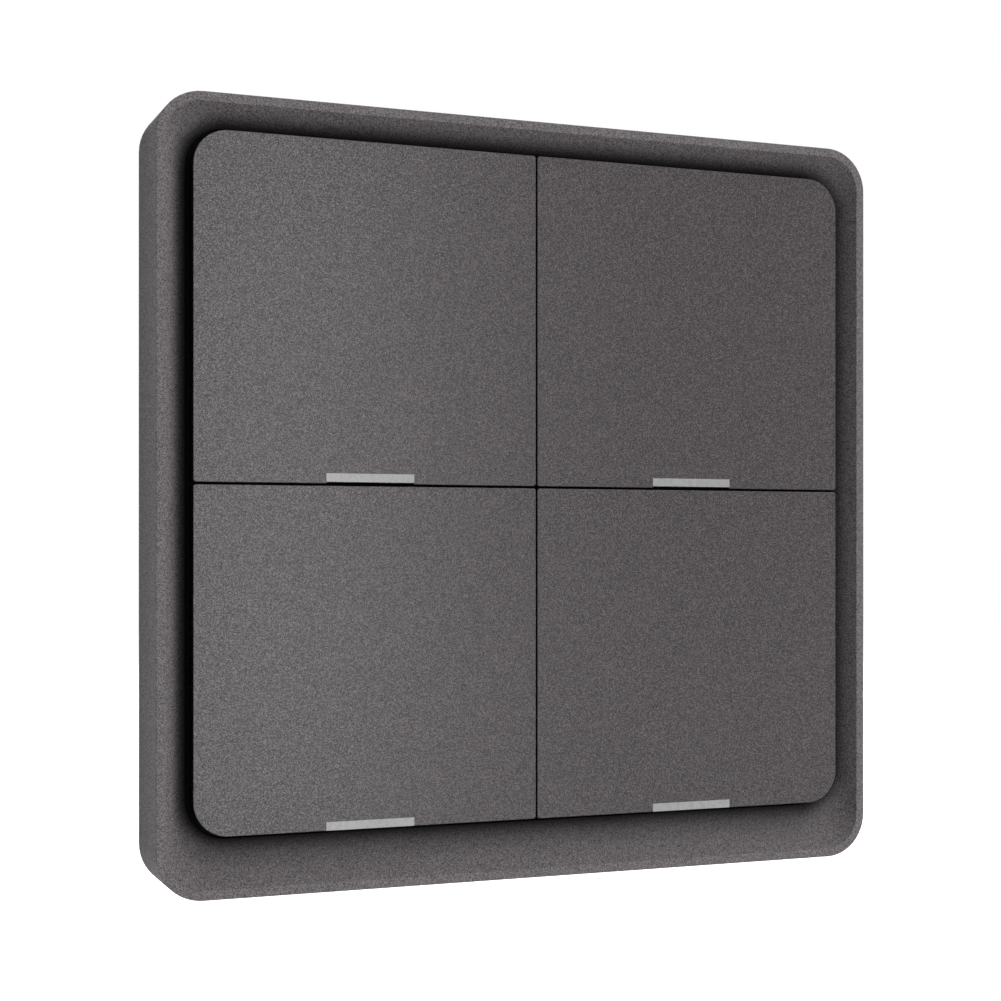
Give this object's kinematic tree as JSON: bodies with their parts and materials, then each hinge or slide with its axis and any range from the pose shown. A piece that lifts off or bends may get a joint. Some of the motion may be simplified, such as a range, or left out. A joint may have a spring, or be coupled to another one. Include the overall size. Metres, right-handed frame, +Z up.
{
  "type": "scene switch",
  "caption": "Square wall-mounted battery scene switch: sprung keys with light bars behind a dished charcoal frame, on a wall plate.",
  "frame": {"origin": "middle of the wall plate's screw slots, in the plane of the wall", "axes": "+X to the right as seen from the front, +Y into the wall, +Z up; the keys face -Y"},
  "size_m": [0.086, 0.0103, 0.086],
  "materials": {
    "charcoal_paint": "fine speckled matt paint, warm charcoal",
    "key_plastic": "fine speckled matt paint on the face, bare black sides",
    "black_plastic": "moulded black, fine spark texture",
    "housing_plastic": "moulded dark grey, spark texture",
    "wall_plate_plastic": "moulded dark grey, spark texture",
    "light_guide": "milky grey light guide, satin",
    "board_laminate": "green solder mask",
    "switch_plastic": "black moulded",
    "plunger_plastic": "off-white moulded",
    "lamp_package": "lamp package with yellow lens",
    "shield_tin": "tinned steel sheet",
    "chip_epoxy": "black epoxy",
    "contact_nickel": "nickel-plated spring steel",
    "cell_steel": "nickel-plated can",
    "screw_zinc": "zinc-plated",
    "magnet_nickel": "nickel-plated magnet",
    "catch_steel": "bare stamped steel",
    "tape_foam": "white foam tape"
  },
  "bodies": {
    "wall_plate": {"wall_plate": "wall_plate_plastic", "catch_plates": "catch_steel", "adhesive_pads": "tape_foam"},
    "switch_module": {"front_frame": "charcoal_paint", "key_carrier": "black_plastic", "circuit_board": "board_laminate", "switch_body_upper_left": "switch_plastic", "switch_body_upper_right": "switch_plastic", "switch_body_lower_left": "switch_plastic", "switch_body_lower_right": "switch_plastic", "indicator_leds": "lamp_package", "radio_board": "board_laminate", "radio_shield": "shield_tin", "board_components": "chip_epoxy", "cell_contact_negative": "contact_nickel", "cell_contact_positive": "contact_nickel", "coin_cell": "cell_steel", "rear_housing": "housing_plastic", "housing_screws": "screw_zinc", "hold_magnets": "magnet_nickel"},
    "battery_door": {"battery_door": "housing_plastic"},
    "key_upper_left": {"key_upper_left": "key_plastic", "light_bar_upper_left": "light_guide"},
    "key_upper_right": {"key_upper_right": "key_plastic", "light_bar_upper_right": "light_guide"},
    "key_lower_left": {"key_lower_left": "key_plastic", "light_bar_lower_left": "light_guide"},
    "key_lower_right": {"key_lower_right": "key_plastic", "light_bar_lower_right": "light_guide"},
    "plunger_upper_left": {"switch_plunger_upper_left": "plunger_plastic"},
    "plunger_upper_right": {"switch_plunger_upper_right": "plunger_plastic"},
    "plunger_lower_left": {"switch_plunger_lower_left": "plunger_plastic"},
    "plunger_lower_right": {"switch_plunger_lower_right": "plunger_plastic"}
  },
  "joints": [
    {"name": "module_pull_off", "type": "slide", "parent": "wall_plate", "child": "switch_module", "axis": [0, -1, 0], "range_m": [0, 0.03]},
    {"name": "battery_door_turn", "type": "hinge", "parent": "switch_module", "child": "battery_door", "pos_m": [0, -0.0009, 0], "axis": [0, 1, 0], "range_deg": [0, 40]},
    {"name": "key_press_upper_left", "type": "hinge", "parent": "switch_module", "child": "key_upper_left", "pos_m": [-0.01959, -0.0082, 0.03667], "axis": [1, 0, 0], "range_deg": [0, 0.59], "stiffness_Nm_per_rad": 2, "springref_deg": -0.69},
    {"name": "key_press_upper_right", "type": "hinge", "parent": "switch_module", "child": "key_upper_right", "pos_m": [0.01959, -0.0082, 0.03667], "axis": [1, 0, 0], "range_deg": [0, 0.59], "stiffness_Nm_per_rad": 2, "springref_deg": -0.69},
    {"name": "key_press_lower_left", "type": "hinge", "parent": "switch_module", "child": "key_lower_left", "pos_m": [-0.01959, -0.0082, -0.00116], "axis": [1, 0, 0], "range_deg": [0, 0.59], "stiffness_Nm_per_rad": 2, "springref_deg": -0.69},
    {"name": "key_press_lower_right", "type": "hinge", "parent": "switch_module", "child": "key_lower_right", "pos_m": [0.01959, -0.0082, -0.00116], "axis": [1, 0, 0], "range_deg": [0, 0.59], "stiffness_Nm_per_rad": 2, "springref_deg": -0.69},
    {"name": "plunger_press_upper_left", "type": "slide", "parent": "switch_module", "child": "plunger_upper_left", "axis": [0, 1, 0], "range_m": [0, 0.00025]},
    {"name": "plunger_press_upper_right", "type": "slide", "parent": "switch_module", "child": "plunger_upper_right", "axis": [0, 1, 0], "range_m": [0, 0.00025]},
    {"name": "plunger_press_lower_left", "type": "slide", "parent": "switch_module", "child": "plunger_lower_left", "axis": [0, 1, 0], "range_m": [0, 0.00025]},
    {"name": "plunger_press_lower_right", "type": "slide", "parent": "switch_module", "child": "plunger_lower_right", "axis": [0, 1, 0], "range_m": [0, 0.00025]}
  ],
  "couplings": [
    {"joint": "plunger_press_upper_left", "follows": "key_press_upper_left", "m_per_rad": 0.023996},
    {"joint": "plunger_press_upper_right", "follows": "key_press_upper_right", "m_per_rad": 0.023996},
    {"joint": "plunger_press_lower_left", "follows": "key_press_lower_left", "m_per_rad": 0.023996},
    {"joint": "plunger_press_lower_right", "follows": "key_press_lower_right", "m_per_rad": 0.023996}
  ]
}
